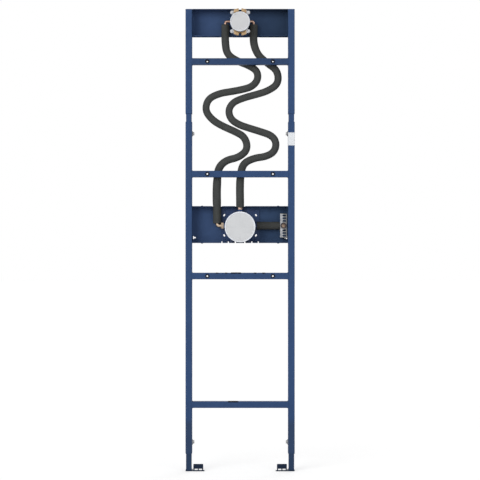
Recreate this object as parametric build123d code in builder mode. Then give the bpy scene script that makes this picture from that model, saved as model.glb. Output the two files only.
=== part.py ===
"""Shower installation frame, in millimetres.

A welded steel frame that stands inside a dry wall. Two posts stand on telescoping legs and carry a
telescoping head section. Crossbars and two folded trays hold a concealed mixer, a hand shower outlet and
the socket of an overhead shower, which two insulated hoses feed.

+X points right as seen from the room, +Y into the wall and +Z up.
The origin lies on the underside of the left floor plate, below the axis of the left leg.
"""

import os
from math import radians, tan

from build123d import *

os.makedirs("parts", exist_ok=True)

# Posts and the tubes that telescope in them
frame_width = 500.0
frame_height = 2115.0
post_width = 30.0
post_depth = 50.0
post_wall = 2.0
post_corner = 3.0
slide_gap = 0.5
slide_tube_round = 1.0
post_bottom = 80.0
post_top = 1599.0
splice_gap = 38.0
coupling_grip = 200.0
coupling_seat = 100.0
leg_grip = 250.0

# Floor plates
plate_length = 87.0
plate_sheet = 3.0
plate_corner = 5.0
pad_overhang = 3.0
ear_depth = 18.0
tab_gap = 5.5
tab_width = 45.5
tab_height = 31.0
tab_corner = 3.0
window_width = 14.5
window_height = 6.0
window_web = 5.0

# Crossbars and the bushes in their bolt holes
bar_height = 30.0
bar_depth = 30.0
bar_wall = 2.0
bar_corner = 3.0
lower_bar_z = 304.0
middle_bar_z = 893.0
hose_bar_z = 1360.0
head_bar_drop = 239.8
bolt_spacing = 300.0
bush_hole = 16.0
bush_play = 0.4
bush_bore = 10.0
bush_flange = 20.0
bush_flange_sheet = 1.5

# Clamp screws that hold the telescoping tubes
leg_clamp_rise = 51.0
splice_clamp_drop = 53.0
boss_base = 30.0
boss_top = 18.0
boss_height = 5.0
clamp_hole = 9.0
clamp_shank = 8.0
clamp_flats = 13.0
clamp_head = 5.5
clamp_tip_gap = 0.3

# Folded trays
tray_setback = 14.0
tray_depth = 59.0
tray_sheet = 2.0
tray_bend = 7.0
notch_corner = 5.0
notch_back_gap = 1.5
head_tray_height = 123.5
head_tray_proud = 2.5
head_notch_offset = 62.0
head_notch_width = 62.0
centre_notch_width = 16.0
centre_notch_depth = 20.0
mixer_tray_bottom = 1044.0
mixer_tray_height = 169.5
hose_notch_width = 46.0
inlet_notch_width = 38.0
strap_slot_width = 12.0
strap_slot_height = 5.5
strap_slot_rise = 25.0
strap_slot_inset = 9.0
strap_slit_width = 4.0
strap_slit_height = 13.0
tie_slit_offset = 84.0
tie_slit_width = 5.0

# Concealed mixer
mixer_rise = 73.5
mixer_flange_width = 178.0
mixer_flange_height = 148.0
mixer_flange_sheet = 4.0
mixer_flange_corner = 10.0
mixer_flange_lift = 8.5
mixer_body_diameter = 136.0
mixer_body_front = -40.0
port_boss = 30.0
port_reach = 76.0
port_lift = 6.5
top_port_reach = 80.5
slot_circle = 174.0
slot_angle = 32.5
slot_length = 11.0
slot_width = 6.5
flange_screw_x = 67.5
flange_screw_z = 68.0
flange_screw_hole = 6.0
rib_count = 12
rib_sheet = 2.5
rib_height = 34.0
rib_reach = 2.0
cover_overhang = 2.0
mixer_cover_depth = 22.0
cover_wall = 3.0
cover_rim = 6.0
cover_recess = 1.2
cover_bevel = 2.0
inlet_offset = 38.0
inlet_diameter = 27.0
inlet_bore = 18.6
inlet_bore_depth = 15.0
inlet_play = 0.4
collar_diameter = 27.0
left_nut_flats = 27.0
left_nut_length = 11.0
left_elbow_rise = 10.5
top_nipple_length = 9.5
elbow_tube = 18.0
elbow_bend = 9.5
right_collar_length = 8.0

# Hand shower outlet
outlet_inset = 20.5
outlet_reach = 17.0
outlet_hose_diameter = 36.0
outlet_hose_gap = 0.5
outlet_stub = 22.0
outlet_socket = 23.0
outlet_socket_front = -8.0
outlet_collar = 25.5
outlet_collar_depth = 6.0
outlet_bore = 18.6
outlet_bore_depth = 15.0
bracket_width = 31.0
bracket_height = 113.0
bracket_sheet = 2.5
bracket_face = 0.0
bracket_bend = 4.0
bracket_hole = 26.0
bracket_slot_length = 17.0
bracket_slot_width = 8.0
bracket_slot_pitch = 12.5
bracket_slot_start = 21.5
bracket_slot_offset = 3.5
bracket_slot_count = 3

# Overhead shower socket
head_socket_rise = 58.5
socket_foot = 80.0
socket_foot_depth = 8.0
socket_body = 60.0
socket_disc = 84.0
socket_ring_inner = 97.0
socket_ring_outer = 124.0
socket_arc_width = 60.0
socket_flange_back = -46.0
socket_flange_sheet = 4.0
socket_notch_width = 13.0
socket_arm_width = 12.0
socket_ear = 17.0
screw_circle = 113.0
screw_angle = 49.0
screw_hole = 6.0
cap_diameter = 11.0
cap_height = 4.0
head_cover_diameter = 90.0
head_cover_depth = 16.0
head_port = 16.0
head_port_reach = 40.0
head_nut_flats = 20.0
head_nut_length = 8.0
head_elbow_lift = 12.5
head_elbow_drop = 15.0
head_elbow_tube = 12.0
head_elbow_bend = 9.0

# Insulated hoses: offset from the centre line and height above the lower end of each route point
hose_diameter = 34.5
hose_y = 24.0
left_route = [
    (-105, 0), (-105, 30), (-107, 86), (-108, 142), (-106, 194), (-101, 255), (-65, 291),
    (-7, 303), (36, 340), (23, 398), (-28, 425), (-77, 446), (-125, 473), (-162, 519),
    (-148, 574), (-94, 599), (-41, 607), (8, 616), (55, 629), (83, 662), (79, 703),
    (38, 729), (-10, 746), (-60, 777), (-69, 833), (-68, 887), (-68, 915),
]
right_route = [
    (0, 0), (0, 30), (-1, 88), (1, 144), (13, 203), (66, 228), (118, 234),
    (158, 256), (168, 297), (148, 331), (93, 350), (40, 366), (-5, 381), (-43, 406),
    (-55, 448), (-33, 485), (19, 506), (72, 520), (127, 536), (177, 570), (173, 631),
    (125, 665), (81, 703), (61, 756), (63, 814), (63, 842),
]

# Positions that follow from the sizes above
right_x = frame_width - post_width
centre_x = right_x / 2
centre_plane = Plane.YZ.offset(centre_x)
front_y = -post_depth / 2
bay_left = post_width / 2
bay_width = frame_width - 2 * post_width
inner_width = post_width - 2 * (post_wall + slide_gap)
inner_depth = post_depth - 2 * (post_wall + slide_gap)
inner_corner = post_corner - post_wall - slide_gap
head_post_bottom = post_top + splice_gap
clamp_heights = (post_bottom + leg_clamp_rise, post_top - splice_clamp_drop)
bar_y = front_y + bar_depth / 2
bar_back = front_y + bar_depth
bolt_x = (centre_x - bolt_spacing / 2, centre_x + bolt_spacing / 2)
tray_front = front_y + tray_setback
tray_back = tray_front + tray_depth
tray_plate = tray_back - tray_sheet
mixer_flange_front = tray_plate - mixer_flange_sheet
mixer_z = mixer_tray_bottom + mixer_rise
mixer_flange_z = mixer_z + mixer_flange_lift
port_z = mixer_z + port_lift
inlet_bottom = mixer_tray_bottom
mixer_cover_diameter = mixer_body_diameter + 2 * cover_overhang
left_hose_x = centre_x + left_route[0][0]
right_hose_x = centre_x + right_route[0][0]
left_hose_bottom = port_z + left_elbow_rise
nipple_bottom = mixer_z + top_port_reach
right_hose_bottom = nipple_bottom + top_nipple_length
outlet_x = bay_left + bay_width - outlet_inset
outlet_hose_end = outlet_x - outlet_reach
head_tray_bottom = frame_height + head_tray_proud - head_tray_height
head_socket_z = head_tray_bottom + head_socket_rise
head_elbow_z = head_socket_z + head_elbow_lift
hose_top = head_elbow_z - head_elbow_drop
head_bar_z = frame_height - head_bar_drop
socket_flange_front = socket_flange_back - socket_flange_sheet


def wall_plane(y):
    """Plane parallel to the wall at depth y that faces the room, with X and Z as its own axes."""
    return Plane.XZ.offset(-y)


def tube_section(width, depth, wall, corner, inner_round):
    """Drawn rectangular tube with rounded corners."""
    RectangleRounded(width, depth, corner)
    RectangleRounded(width - 2 * wall, depth - 2 * wall, inner_round, mode=Mode.SUBTRACT)


def crossbar(z, drilled=True):
    """Square tube welded between the posts; a drilled bar has a hole for a bush at each bolt position."""
    with BuildPart() as bar:
        with BuildSketch(Plane.YZ.offset(bay_left)):
            with Locations((bar_y, z)):
                tube_section(bar_depth, bar_height, bar_wall, bar_corner, bar_corner - bar_wall)
        extrude(amount=bay_width)
        if drilled:
            with BuildSketch(wall_plane(bar_back)):
                with Locations(*[(x, z) for x in bolt_x]):
                    Circle(bush_hole / 2)
            extrude(amount=bar_depth, mode=Mode.SUBTRACT)
    return bar


def bushes(heights):
    """Flanged bushes through the bolt holes of the crossbars at these heights."""
    places = [(x, z) for x in bolt_x for z in heights]
    with BuildPart() as bush:
        with BuildSketch(wall_plane(bar_back)):
            with Locations(*places):
                Circle((bush_hole - bush_play) / 2)
                Circle(bush_bore / 2, mode=Mode.SUBTRACT)
        extrude(amount=bar_depth)
        with BuildSketch(wall_plane(front_y)):
            with Locations(*places):
                Circle(bush_flange / 2)
                Circle(bush_bore / 2, mode=Mode.SUBTRACT)
        extrude(amount=bush_flange_sheet)
    return bush


def tray(bottom, height, top_notches, bottom_notches):
    """Folded pan, open to the room; each notch is an offset from the centre line, a width and a depth."""
    with BuildPart() as pan:
        with BuildSketch(wall_plane(tray_back)):
            with Locations((centre_x, bottom + height / 2)):
                Rectangle(bay_width, height)
        extrude(amount=tray_depth)
        fillet(pan.faces().sort_by(Axis.Y)[-1].edges(), tray_bend)
        offset(amount=-tray_sheet, openings=pan.faces().sort_by(Axis.Y)[0])
        for level, notches in ((bottom + height - tray_bend, top_notches), (bottom, bottom_notches)):
            for position, width, depth in notches:
                with BuildSketch(Plane.XY.offset(level)):
                    with Locations((centre_x + position, tray_front)):
                        RectangleRounded(width, 2 * depth, min(notch_corner, width / 4))
                extrude(amount=tray_bend, mode=Mode.SUBTRACT)
    return pan


def mixer_slots():
    """The four tangential slots through the flange of the mixer box and the tray behind it."""
    with Locations((centre_x, mixer_flange_z)):
        for start in (slot_angle, 180 - slot_angle):
            with PolarLocations(slot_circle / 2, 2, start_angle=start):
                SlotOverall(slot_length, slot_width, rotation=90)


def cover(z, back, diameter, depth):
    """Round protective cap, open at the back, with a raised rim on its face."""
    with BuildPart() as cap:
        with BuildSketch(wall_plane(back)):
            with Locations((centre_x, z)):
                Circle(diameter / 2)
        extrude(amount=depth)
        chamfer(cap.faces().sort_by(Axis.Y)[0].edges(), cover_bevel)
        with BuildSketch(wall_plane(back)):
            with Locations((centre_x, z)):
                Circle(diameter / 2 - cover_wall)
        extrude(amount=depth - cover_wall - cover_recess, mode=Mode.SUBTRACT)
        with BuildSketch(wall_plane(back - depth)):
            with Locations((centre_x, z)):
                Circle(diameter / 2 - cover_rim)
        extrude(amount=-cover_recess, mode=Mode.SUBTRACT)
    return cap


def bend_radii(points):
    """Largest tangent arc at each inner route point that leaves a short straight on every run."""
    radii = []
    for before, here, after in zip(points, points[1:], points[2:]):
        run_in = here - before
        run_out = after - here
        half_turn = radians(run_in.get_angle(run_out)) / 2
        radii.append(0.45 * min(run_in.length, run_out.length) / tan(half_turn))
    return radii


def hose(name, route, bottom):
    """Insulated hose behind the crossbars; its route stretches in height to meet the head elbow."""
    stretch = (hose_top - bottom) / route[-1][1]
    points = [Vector(centre_x + x, hose_y, bottom + stretch * rise) for x, rise in route]
    radii = bend_radii(points)
    with BuildPart() as tube:
        with BuildLine() as path:
            FilletPolyline(*points, radius=radii)
        with BuildSketch(Plane(origin=path.line @ 0, z_dir=path.line % 0)) as section:
            Circle(hose_diameter / 2)
        sweep(path=path.line)
    length = path.wires()[0].length
    ratio = tube.part.volume / (section.sketch.area * length)
    print(name, "length", round(length), "volume ratio", round(ratio, 4))
    print(name, "radii", [round(radius) for radius in radii])
    return tube


# Telescoping legs on their floor plates
with BuildPart() as left_leg:
    with BuildSketch(Plane.XY.offset(plate_sheet)):
        tube_section(inner_width, inner_depth, post_wall, inner_corner, slide_tube_round)
    extrude(amount=post_bottom + leg_grip - plate_sheet)

with BuildPart() as left_floor_plate:
    plate_left = -post_width / 2
    plate_right = plate_left + plate_length
    pad_right = post_width / 2 + pad_overhang
    ear_back = front_y + ear_depth
    tab_left = post_width / 2 + tab_gap
    tab_middle = tab_left + tab_width / 2
    window_pitch = window_width + window_web
    with BuildSketch(Plane.XY) as outline:
        with BuildLine():
            Polyline(
                (plate_left, front_y),
                (plate_right, front_y),
                (plate_right, ear_back),
                (pad_right, ear_back),
                (pad_right, -front_y),
                (plate_left, -front_y),
                close=True,
            )
        make_face()
        fillet(outline.vertices(), plate_corner)
    extrude(amount=plate_sheet)
    with BuildSketch(wall_plane(ear_back)):
        with Locations((tab_middle, 0)):
            Rectangle(tab_width, tab_height, align=(Align.CENTER, Align.MIN))
        with Locations((tab_middle, plate_sheet)):
            with GridLocations(window_pitch, 0, 2, 1):
                Rectangle(window_width, window_height, align=(Align.CENTER, Align.MIN), mode=Mode.SUBTRACT)
    extrude(amount=plate_sheet)
    tab_top = left_floor_plate.edges().filter_by(Axis.Y).sort_by(Axis.Z)[-2:]
    fillet(tab_top, tab_corner)

with BuildPart() as right_leg:
    mirror(left_leg.part, about=centre_plane)

with BuildPart() as right_floor_plate:
    mirror(left_floor_plate.part, about=centre_plane)

# Posts with a hole for each clamp screw in the inner wall
with BuildPart() as left_post:
    with BuildSketch(Plane.XY.offset(post_bottom)):
        tube_section(post_width, post_depth, post_wall, post_corner, post_corner - post_wall)
    extrude(amount=post_top - post_bottom)
    with BuildSketch(Plane.YZ.offset(bay_left - 2 * post_wall)):
        with Locations(*[(0, z) for z in clamp_heights]):
            Circle(clamp_hole / 2)
    extrude(amount=2 * post_wall, mode=Mode.SUBTRACT)

with BuildPart() as right_post:
    mirror(left_post.part, about=centre_plane)

lower_bar = crossbar(lower_bar_z, drilled=False)
middle_bar = crossbar(middle_bar_z)
hose_bar = crossbar(hose_bar_z)
bar_bushes = bushes((middle_bar_z, hose_bar_z))

# Clamp screws in cone-shaped weld bosses on the inner walls of the posts
with BuildPart() as clamp_bosses:
    for clamp_z in clamp_heights:
        with Locations(Location((bay_left, 0, clamp_z), (0, 90, 0))):
            Cone(boss_base / 2, boss_top / 2, boss_height, align=(Align.CENTER, Align.CENTER, Align.MIN))
            Hole(clamp_hole / 2)
    mirror(about=centre_plane)

with BuildPart() as clamp_bolts:
    with BuildSketch(Plane.YZ.offset(inner_width / 2 + clamp_tip_gap)):
        with Locations(*[(0, z) for z in clamp_heights]):
            Circle(clamp_shank / 2)
    extrude(amount=bay_left + boss_height - inner_width / 2 - clamp_tip_gap)
    with BuildSketch(Plane.YZ.offset(bay_left + boss_height)):
        with Locations(*[(0, z) for z in clamp_heights]):
            RegularPolygon(clamp_flats / 2, 6, major_radius=False)
    extrude(amount=clamp_head)
    mirror(about=centre_plane)

# Tray of the mixer
hose_notch_depth = tray_depth - tray_sheet - notch_back_gap
mixer_pan = tray(
    mixer_tray_bottom,
    mixer_tray_height,
    [(x, hose_notch_width, hose_notch_depth) for x in (left_route[0][0], right_route[0][0])],
    [(x, inlet_notch_width, tray_depth + notch_corner) for x in (-inlet_offset, inlet_offset)]
    + [(x, tie_slit_width, tray_depth + notch_corner) for x in (-tie_slit_offset, tie_slit_offset)],
)
with BuildPart() as mixer_tray:
    add(mixer_pan.part)
    with BuildSketch(wall_plane(tray_back)):
        mixer_slots()
        with Locations((centre_x, mixer_tray_bottom + strap_slot_rise)):
            with GridLocations(bay_width - 2 * strap_slot_inset, 0, 2, 1):
                Rectangle(strap_slot_width, strap_slot_height)
            strap_slit_span = bay_width - 2 * strap_slot_inset + strap_slot_width - strap_slit_width
            with GridLocations(strap_slit_span, 0, 2, 1):
                Rectangle(strap_slit_width, strap_slit_height)
    extrude(amount=tray_bend, mode=Mode.SUBTRACT)

# Mixer box, a moulding with a square back flange and a boss at every port
with BuildPart() as mixer_box:
    with BuildSketch(wall_plane(tray_plate)):
        with Locations((centre_x, mixer_flange_z)):
            RectangleRounded(mixer_flange_width, mixer_flange_height, mixer_flange_corner)
    extrude(amount=mixer_flange_sheet)
    with BuildSketch(wall_plane(mixer_flange_front)):
        with Locations((centre_x, mixer_z)):
            Circle(mixer_body_diameter / 2)
    extrude(amount=mixer_flange_front - mixer_body_front)
    for turn in range(rib_count):
        outward = Vector(1, 0, 0).rotate(Axis.Y, (turn + 0.5) * 360 / rib_count)
        across = outward.cross(Vector(0, -1, 0))
        body_radius = mixer_body_diameter / 2
        with BuildSketch(Plane(origin=(centre_x, mixer_flange_front, mixer_z), x_dir=outward, z_dir=across)):
            with BuildLine():
                Polyline(
                    (0, 0),
                    (body_radius + rib_reach, 0),
                    (body_radius, rib_height),
                    (0, rib_height),
                    close=True,
                )
            make_face()
        extrude(amount=rib_sheet / 2, both=True)
    with BuildSketch(wall_plane(tray_plate)):
        mixer_slots()
        with Locations((centre_x, mixer_flange_z)):
            with GridLocations(2 * flange_screw_x, 2 * flange_screw_z, 2, 2):
                Circle(flange_screw_hole / 2)
    extrude(amount=mixer_flange_sheet, mode=Mode.SUBTRACT)
    with BuildSketch(Plane.YZ.offset(centre_x - port_reach)):
        with Locations((hose_y, port_z)):
            Circle(port_boss / 2)
    extrude(amount=2 * port_reach)
    with BuildSketch(Plane.XY.offset(mixer_z)):
        with Locations((centre_x, hose_y)):
            Circle(port_boss / 2)
    extrude(amount=top_port_reach)
    with BuildSketch(Plane.XY.offset(mixer_z)):
        with Locations((centre_x - inlet_offset, hose_y), (centre_x + inlet_offset, hose_y)):
            Circle(port_boss / 2)
    extrude(amount=inlet_bottom + inlet_bore_depth - mixer_z)
    with BuildSketch(Plane.XY.offset(inlet_bottom)):
        with Locations((centre_x - inlet_offset, hose_y), (centre_x + inlet_offset, hose_y)):
            Circle((inlet_diameter + inlet_play) / 2)
    extrude(amount=inlet_bore_depth, mode=Mode.SUBTRACT)

mixer_cover = cover(mixer_z, mixer_body_front, mixer_cover_diameter, mixer_cover_depth)

# Brass ports of the mixer
with BuildPart() as left_mixer_elbow:
    nut_x = centre_x - port_reach
    tube_x = nut_x - left_nut_length
    with BuildSketch(Plane.YZ.offset(tube_x)):
        with Locations((hose_y, port_z)):
            RegularPolygon(left_nut_flats / 2, 6, major_radius=False)
    extrude(amount=left_nut_length)
    with BuildLine() as elbow_path:
        FilletPolyline(
            (tube_x, hose_y, port_z),
            (left_hose_x, hose_y, port_z),
            (left_hose_x, hose_y, left_hose_bottom),
            radius=elbow_bend,
        )
    with BuildSketch(Plane(origin=elbow_path.line @ 0, z_dir=elbow_path.line % 0)):
        Circle(elbow_tube / 2)
    sweep(path=elbow_path.line)

with BuildPart() as top_mixer_nipple:
    with BuildSketch(Plane.XY.offset(nipple_bottom)):
        with Locations((right_hose_x, hose_y)):
            Circle(collar_diameter / 2)
    extrude(amount=top_nipple_length)

with BuildPart() as right_mixer_nipple:
    with BuildSketch(Plane.YZ.offset(centre_x + port_reach)):
        with Locations((hose_y, port_z)):
            Circle(collar_diameter / 2)
    extrude(amount=right_collar_length)

with BuildPart() as hot_inlet:
    with BuildSketch(Plane.XY.offset(inlet_bottom)):
        with Locations((centre_x - inlet_offset, hose_y)):
            Circle(inlet_diameter / 2)
            Circle(inlet_bore / 2, mode=Mode.SUBTRACT)
    extrude(amount=inlet_bore_depth)

with BuildPart() as cold_inlet:
    mirror(hot_inlet.part, about=centre_plane)

# Hand shower outlet beside the mixer
with BuildPart() as outlet_hose:
    outlet_hose_start = centre_x + port_reach + outlet_hose_gap
    with BuildSketch(Plane.YZ.offset(outlet_hose_start)):
        with Locations((hose_y, port_z)):
            Circle(outlet_hose_diameter / 2)
    extrude(amount=outlet_hose_end - outlet_hose_start)
    with BuildSketch(Plane.YZ.offset(outlet_hose_start)):
        with Locations((hose_y, port_z)):
            Circle((collar_diameter + outlet_hose_gap) / 2)
    extrude(amount=right_collar_length - outlet_hose_gap, mode=Mode.SUBTRACT)

with BuildPart() as outlet_bracket:
    with BuildSketch(Plane.YZ.offset(outlet_x - bracket_width / 2)):
        with Locations((bracket_face, port_z)):
            leg_length = tray_plate - bracket_face
            Rectangle(leg_length, bracket_height, align=(Align.MIN, Align.CENTER))
    extrude(amount=bracket_width)
    fillet(outlet_bracket.faces().sort_by(Axis.Y)[0].edges().filter_by(Axis.X), bracket_bend)
    with BuildSketch(Plane.YZ.offset(outlet_x - bracket_width / 2)):
        with Locations((bracket_face + bracket_sheet, port_z)):
            Rectangle(leg_length, bracket_height - 2 * bracket_sheet, align=(Align.MIN, Align.CENTER))
    extrude(amount=bracket_width, mode=Mode.SUBTRACT)
    with BuildSketch(wall_plane(bracket_face)):
        with Locations((outlet_x, port_z)):
            Circle(bracket_hole / 2)
            for side in (-1, 1):
                for step in range(bracket_slot_count):
                    slot_z = side * (bracket_slot_start + step * bracket_slot_pitch)
                    with Locations((bracket_slot_offset, slot_z)):
                        SlotOverall(bracket_slot_length, bracket_slot_width)
    extrude(amount=-bracket_sheet, mode=Mode.SUBTRACT)

with BuildPart() as outlet_elbow:
    with BuildSketch(Plane.YZ.offset(outlet_hose_end)):
        with Locations((hose_y, port_z)):
            Circle(outlet_stub / 2)
    extrude(amount=outlet_reach)
    with BuildSketch(wall_plane(hose_y + outlet_stub / 2)):
        with Locations((outlet_x, port_z)):
            Circle(outlet_socket / 2)
    extrude(amount=hose_y + outlet_stub / 2 - outlet_socket_front)
    with BuildSketch(wall_plane(outlet_socket_front)):
        with Locations((outlet_x, port_z)):
            RegularPolygon(outlet_collar / 2, 8, major_radius=False)
    extrude(amount=-outlet_collar_depth)
    with BuildSketch(wall_plane(outlet_socket_front)):
        with Locations((outlet_x, port_z)):
            Circle(outlet_bore / 2)
    extrude(amount=-outlet_bore_depth, mode=Mode.SUBTRACT)

# Hoses from the mixer to the overhead shower
left_hose = hose("left_hose", left_route, left_hose_bottom)
right_hose = hose("right_hose", right_route, right_hose_bottom)

# Head section: upper posts on their coupling tubes, crossbar and tray
with BuildPart() as left_head_post:
    with BuildSketch(Plane.XY.offset(head_post_bottom)):
        tube_section(post_width, post_depth, post_wall, post_corner, post_corner - post_wall)
    extrude(amount=frame_height - head_post_bottom)

with BuildPart() as right_head_post:
    mirror(left_head_post.part, about=centre_plane)

with BuildPart() as left_coupling:
    with BuildSketch(Plane.XY.offset(post_top - coupling_grip)):
        tube_section(inner_width, inner_depth, post_wall, inner_corner, slide_tube_round)
    extrude(amount=coupling_grip + splice_gap + coupling_seat)

with BuildPart() as right_coupling:
    mirror(left_coupling.part, about=centre_plane)

head_bar = crossbar(head_bar_z)
head_bar_bushes = bushes((head_bar_z,))

head_tray = tray(
    head_tray_bottom,
    head_tray_height,
    [(0, centre_notch_width, centre_notch_depth)],
    [(x, head_notch_width, hose_notch_depth) for x in (-head_notch_offset, head_notch_offset)],
)

# Overhead shower socket with a port nut on each side
with BuildPart() as head_socket:
    with BuildSketch(wall_plane(tray_plate)):
        with Locations((centre_x, head_socket_z)):
            Circle(socket_foot / 2)
    extrude(amount=socket_foot_depth)
    with BuildSketch(wall_plane(tray_plate)):
        with Locations((centre_x, head_socket_z)):
            Circle(socket_body / 2)
    extrude(amount=tray_plate - socket_flange_back)
    with BuildSketch(wall_plane(socket_flange_back)):
        with Locations((centre_x, head_socket_z)):
            Circle(socket_ring_outer / 2)
            Circle(socket_ring_inner / 2, mode=Mode.SUBTRACT)
            Rectangle(socket_arc_width, socket_ring_outer, mode=Mode.INTERSECT)
            Rectangle(socket_notch_width, socket_ring_outer, mode=Mode.SUBTRACT)
            Circle(socket_disc / 2)
            for start in (screw_angle, 180 - screw_angle):
                with PolarLocations(screw_circle / 4, 2, start_angle=start):
                    Rectangle(screw_circle / 2, socket_arm_width)
                with PolarLocations(screw_circle / 2, 2, start_angle=start):
                    Circle(socket_ear / 2)
                    Circle(screw_hole / 2, mode=Mode.SUBTRACT)
    extrude(amount=socket_flange_sheet)
    with BuildSketch(Plane.YZ.offset(centre_x - head_port_reach)):
        with Locations((hose_y, head_elbow_z)):
            Circle(head_port / 2)
    extrude(amount=2 * head_port_reach)
    for nut_start in (centre_x - head_port_reach, centre_x + head_port_reach - head_nut_length):
        with BuildSketch(Plane.YZ.offset(nut_start)):
            with Locations((hose_y, head_elbow_z)):
                RegularPolygon(head_nut_flats / 2, 6, major_radius=False)
        extrude(amount=head_nut_length)

head_cover = cover(head_socket_z, socket_flange_front, head_cover_diameter, head_cover_depth)

with BuildPart() as head_screw_caps:
    with BuildSketch(wall_plane(socket_flange_front)):
        with Locations((centre_x, head_socket_z)):
            for start in (screw_angle, 180 - screw_angle):
                with PolarLocations(screw_circle / 2, 2, start_angle=start):
                    Circle(cap_diameter / 2)
    extrude(amount=cap_height)


def head_elbow(side, offset_x):
    """Copper elbow from a port of the head socket down to the top of a hose."""
    with BuildPart() as elbow:
        with BuildLine() as path:
            FilletPolyline(
                (centre_x + side * head_port_reach, hose_y, head_elbow_z),
                (centre_x + offset_x, hose_y, head_elbow_z),
                (centre_x + offset_x, hose_y, hose_top),
                radius=head_elbow_bend,
            )
        with BuildSketch(Plane(origin=path.line @ 0, z_dir=path.line % 0)):
            Circle(head_elbow_tube / 2)
        sweep(path=path.line)
    return elbow


left_head_elbow = head_elbow(-1, left_route[-1][0])
right_head_elbow = head_elbow(1, right_route[-1][0])

pieces = {
    "left_leg": left_leg,
    "left_floor_plate": left_floor_plate,
    "right_leg": right_leg,
    "right_floor_plate": right_floor_plate,
    "left_post": left_post,
    "right_post": right_post,
    "lower_bar": lower_bar,
    "middle_bar": middle_bar,
    "hose_bar": hose_bar,
    "bar_bushes": bar_bushes,
    "clamp_bosses": clamp_bosses,
    "clamp_bolts": clamp_bolts,
    "mixer_tray": mixer_tray,
    "mixer_box": mixer_box,
    "mixer_cover": mixer_cover,
    "left_mixer_elbow": left_mixer_elbow,
    "top_mixer_nipple": top_mixer_nipple,
    "right_mixer_nipple": right_mixer_nipple,
    "hot_inlet": hot_inlet,
    "cold_inlet": cold_inlet,
    "outlet_hose": outlet_hose,
    "outlet_bracket": outlet_bracket,
    "outlet_elbow": outlet_elbow,
    "left_hose": left_hose,
    "right_hose": right_hose,
    "left_head_post": left_head_post,
    "right_head_post": right_head_post,
    "left_coupling": left_coupling,
    "right_coupling": right_coupling,
    "head_bar": head_bar,
    "head_bar_bushes": head_bar_bushes,
    "head_tray": head_tray,
    "head_socket": head_socket,
    "head_cover": head_cover,
    "head_screw_caps": head_screw_caps,
    "left_head_elbow": left_head_elbow,
    "right_head_elbow": right_head_elbow,
}
for name, piece in pieces.items():
    piece.part.label = name
    export_step(piece.part, f"parts/{name}.step")
    print(name, len(piece.part.solids()), round(piece.part.volume))
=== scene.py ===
from math import cos, pi, radians, sin, sqrt

import bmesh
import bpy
from mathutils import Matrix, Vector


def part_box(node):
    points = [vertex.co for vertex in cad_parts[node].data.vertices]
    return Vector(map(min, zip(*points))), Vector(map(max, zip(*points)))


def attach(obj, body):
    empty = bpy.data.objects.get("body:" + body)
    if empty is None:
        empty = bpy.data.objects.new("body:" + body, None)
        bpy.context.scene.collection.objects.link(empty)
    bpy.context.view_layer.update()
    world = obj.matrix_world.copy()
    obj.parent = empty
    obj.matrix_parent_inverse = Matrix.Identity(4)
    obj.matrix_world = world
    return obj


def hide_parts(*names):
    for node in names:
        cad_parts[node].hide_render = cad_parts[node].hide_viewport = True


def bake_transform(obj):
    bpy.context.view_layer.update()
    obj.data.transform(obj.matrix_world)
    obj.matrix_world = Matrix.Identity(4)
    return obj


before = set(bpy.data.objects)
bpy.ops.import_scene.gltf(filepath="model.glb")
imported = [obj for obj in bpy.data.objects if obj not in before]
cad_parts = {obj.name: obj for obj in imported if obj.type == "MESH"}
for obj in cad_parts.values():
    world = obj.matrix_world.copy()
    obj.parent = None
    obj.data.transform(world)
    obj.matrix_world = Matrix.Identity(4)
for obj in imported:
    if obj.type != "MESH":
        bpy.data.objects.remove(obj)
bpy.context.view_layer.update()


# Floor plates: 3 mm steel sheet cut to an L, with an upright tab that has two windows.
# Each is welded under a leg with a bead all round and powder coated together with it, in a darker blue that
# is painted shade.

def feed(tree, value, socket):
    """Links a node's output to a socket, or writes a plain value on it."""
    if isinstance(value, bpy.types.NodeSocket):
        tree.links.new(value, socket)
    else:
        socket.default_value = value


def add_node(tree, kind, **settings):
    node = tree.nodes.new(kind)
    for key, value in settings.items():
        setattr(node, key, value)
    return node


def place_on_frame(tree):
    """Place on the frame at rest, in metres."""
    return add_node(tree, "ShaderNodeTexCoord").outputs["Object"]


def place_along(tree, axis):
    """One part of the place on the frame: 0 across, 1 in depth and 2 in height."""
    parts = add_node(tree, "ShaderNodeSeparateXYZ")
    feed(tree, place_on_frame(tree), parts.inputs[0])
    return parts.outputs[axis]


def mix_colours(tree, factor, first, second, how="MIX"):
    """Mix of two colours; the node's colours are its sockets 6 and 7, and its output 2."""
    node = add_node(tree, "ShaderNodeMix", data_type="RGBA", blend_type=how)
    feed(tree, factor, node.inputs[0])
    feed(tree, first, node.inputs[6])
    feed(tree, second, node.inputs[7])
    return node.outputs[2]


def reckon(tree, operation, *values):
    node = add_node(tree, "ShaderNodeMath", operation=operation)
    for value, socket in zip(values, node.inputs):
        feed(tree, value, socket)
    return node.outputs[0]


def remap(tree, value, source, target):
    """Turns the source range of a value into the target range and holds it inside."""
    node = add_node(tree, "ShaderNodeMapRange")
    for item, socket in zip((value, *source, *target), node.inputs):
        feed(tree, item, socket)
    return node.outputs[0]


def cloud(tree, scale, detail):
    """Soft noise with scale patches to the metre."""
    node = add_node(tree, "ShaderNodeTexNoise")
    feed(tree, place_on_frame(tree), node.inputs["Vector"])
    feed(tree, scale, node.inputs["Scale"])
    feed(tree, detail, node.inputs["Detail"])
    return node.outputs[0]


def bump(tree, relief, strength, depth, base=None):
    """Normal of a fine relief; base is the normal that it starts from."""
    node = add_node(tree, "ShaderNodeBump")
    feed(tree, strength, node.inputs["Strength"])
    feed(tree, depth, node.inputs["Distance"])
    feed(tree, relief, node.inputs["Height"])
    if base is not None:
        feed(tree, base, node.inputs["Normal"])
    return node.outputs[0]


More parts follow.
